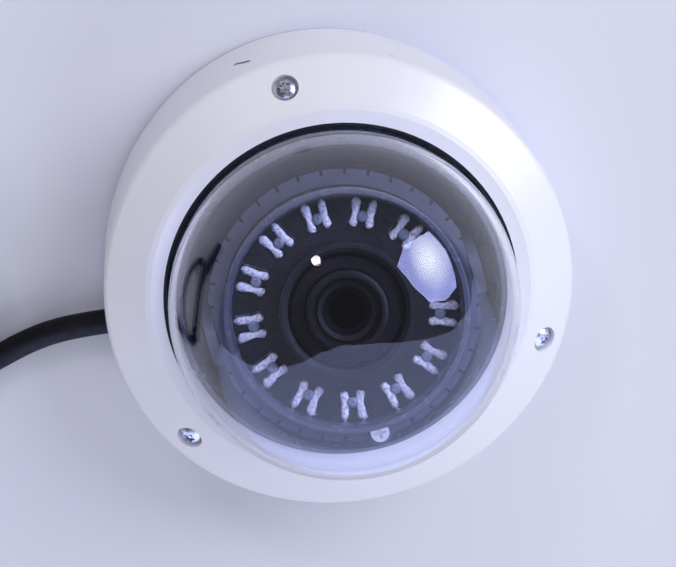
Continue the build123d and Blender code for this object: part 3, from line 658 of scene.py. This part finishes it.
# A low pale wall along the object, as (x, z) points on a plane of constant y.
LOW_Y = 0.11
LOW_COLOUR = (0.50, 0.57, 1.0)
LOW_STRENGTH = 2.8
LOW_OUTLINE = [
    (-1.60, 0.0),
    (-1.20, 0.10),
    (-0.45, 0.13),
    (-0.27, 0.20),
    (-0.20, 0.44),
    (-0.15, 0.62),
    (0.15, 1.20),
    (0.34, 0.85),
    (0.32, 0.50),
    (0.38, 0.36),
    (0.59, 0.24),
    (1.20, 0.16),
    (2.20, 0.0),
]
FOOT_RISE = 0.05
FOOT_SHARE = 0.60


def floor_paint(colour):
    """Plain matt floor, faintly uneven in tone."""
    shader = Shader("floor", colour, 0.6, Specular_IOR_Level=0.0)
    shader.colour(shader.blend(shader.noise(3, 2), colour, scaled(colour, 0.985)))
    return shader.material


def glowing(name, colour, strength):
    """A black surface that glows."""
    shader = Shader(name, (0, 0, 0), 1.0, Specular_IOR_Level=0.0, Emission_Strength=strength)
    shader.main.inputs["Emission Color"].default_value = (*colour, 1.0)
    return shader


def window_glow(name, colour, strength):
    """A window with faint clouds, brightest at its core."""
    shader = glowing(name, colour, strength)
    from_core = shader.vector("DISTANCE", shader.place, CORE_PLACE, "Value")
    glow = shader.spread(from_core, CORE_RADIUS, CORE_FADE, 1.0, 0.0)
    clouds = shader.spread(shader.noise(4, 3), 0.35, 0.65, 0.0, 0.35)
    veil = shader.blend(clouds, colour, scaled(colour, 1.6))
    shader.feed(shader.main.inputs["Emission Color"], shader.blend(glow, veil, CORE_COLOUR))
    return shader.material


def low_glow(name, colour, strength):
    """A pale wall that is dimmer at its foot, where it meets the floor."""
    shader = glowing(name, colour, strength)
    height = shader.vector("DOT_PRODUCT", shader.place, (0, 0, 1), "Value")
    rise = shader.spread(height, 0.0, FOOT_RISE)
    foot = scaled(colour, FOOT_SHARE)
    shader.feed(shader.main.inputs["Emission Color"], shader.blend(rise, foot, colour))
    return shader.material


def stage_sheet(name, corners, material, seen=True):
    """Flat sheet outside the object. Unless it is seen, it only shows in mirror reflections."""
    bm = bmesh.new()
    bm.faces.new([bm.verts.new(corner) for corner in corners])
    mesh = bpy.data.meshes.new(name)
    bm.to_mesh(mesh)
    bm.free()
    mesh.materials.append(material)
    sheet = bpy.data.objects.new(name, mesh)
    bpy.context.collection.objects.link(sheet)
    sheet.visible_camera = seen
    sheet.visible_shadow = seen
    sheet.visible_diffuse = seen
    sheet.visible_transmission = seen


def soft_lamp(name, place, size, power, colour, seen_in_gloss=True):
    """Round area lamp aimed at the object, power in watts."""
    data = bpy.data.lights.new(name, "AREA")
    data.shape = "ELLIPSE"
    data.size, data.size_y = size
    data.energy = power
    data.color = colour
    lamp = bpy.data.objects.new(name, data)
    bpy.context.collection.objects.link(lamp)
    lamp.location = place
    lamp.rotation_euler = (LAMP_AIM - Vector(place)).to_track_quat("-Z", "Y").to_euler()
    lamp.visible_glossy = seen_in_gloss
    lamp.visible_transmission = seen_in_gloss


def make_room():
    """Even pale light all round. Where a surface mirrors the room, it is darker."""
    world = bpy.data.worlds.new("world")
    world.use_nodes = True
    tree = world.node_tree
    sky = tree.nodes["Background"]
    sky.inputs["Color"].default_value = (*ROOM_COLOUR, 1.0)
    path = tree.nodes.new("ShaderNodeLightPath")
    outward = tree.nodes.new("ShaderNodeMath")
    outward.operation = "SUBTRACT"
    outward.use_clamp = True
    tree.links.new(path.outputs["Glossy Depth"], outward.inputs[0])
    tree.links.new(path.outputs["Diffuse Depth"], outward.inputs[1])
    level = tree.nodes.new("ShaderNodeMapRange")
    level.inputs["To Min"].default_value = ROOM_LIGHT
    level.inputs["To Max"].default_value = ROOM_REFLECTED
    tree.links.new(outward.outputs[0], level.inputs["Value"])
    tree.links.new(level.outputs["Result"], sky.inputs["Strength"])
    bpy.context.scene.world = world


def make_stage():
    """Floor, the two things that the dome mirrors, and the lamps."""
    side, low = FLOOR_HALF, FLOOR_HEIGHT
    square = [(-side, -side, low), (side, -side, low), (side, side, low), (-side, side, low)]
    stage_sheet("floor", square, floor_paint(FLOOR_COLOUR))
    sky = window_glow("window_card", WINDOW_COLOUR, WINDOW_STRENGTH)
    stage_sheet("window_card", [(WINDOW_X, y, z) for y, z in WINDOW_OUTLINE], sky, seen=False)
    wall = low_glow("low_card", LOW_COLOUR, LOW_STRENGTH)
    stage_sheet("low_card", [(x, LOW_Y, z) for x, z in LOW_OUTLINE], wall, seen=False)
    soft_lamp("right_key", (-0.85, -0.40, 0.75), (0.9, 0.7), 7.5, (0.93, 0.95, 1.0), False)
    soft_lamp("top_fill", (-0.10, -0.9, 0.8), (0.9, 0.6), 1.6, (0.93, 0.93, 1.0), False)
    soft_lamp("low_fill", (-0.30, 0.9, 0.7), (0.9, 0.6), 4.0, (0.90, 0.93, 1.0), False)
    soft_lamp("left_fill", (0.9, 0.1, 0.6), (0.8, 0.8), 1.2, (1.0, 0.94, 1.0), False)
    soft_lamp("spot", (0.17, -0.76, 0.67), (0.10, 0.10), 0.6, (1.0, 0.85, 0.95))
    make_room()
    bpy.context.scene.view_settings.view_transform = "Standard"


make_stage()
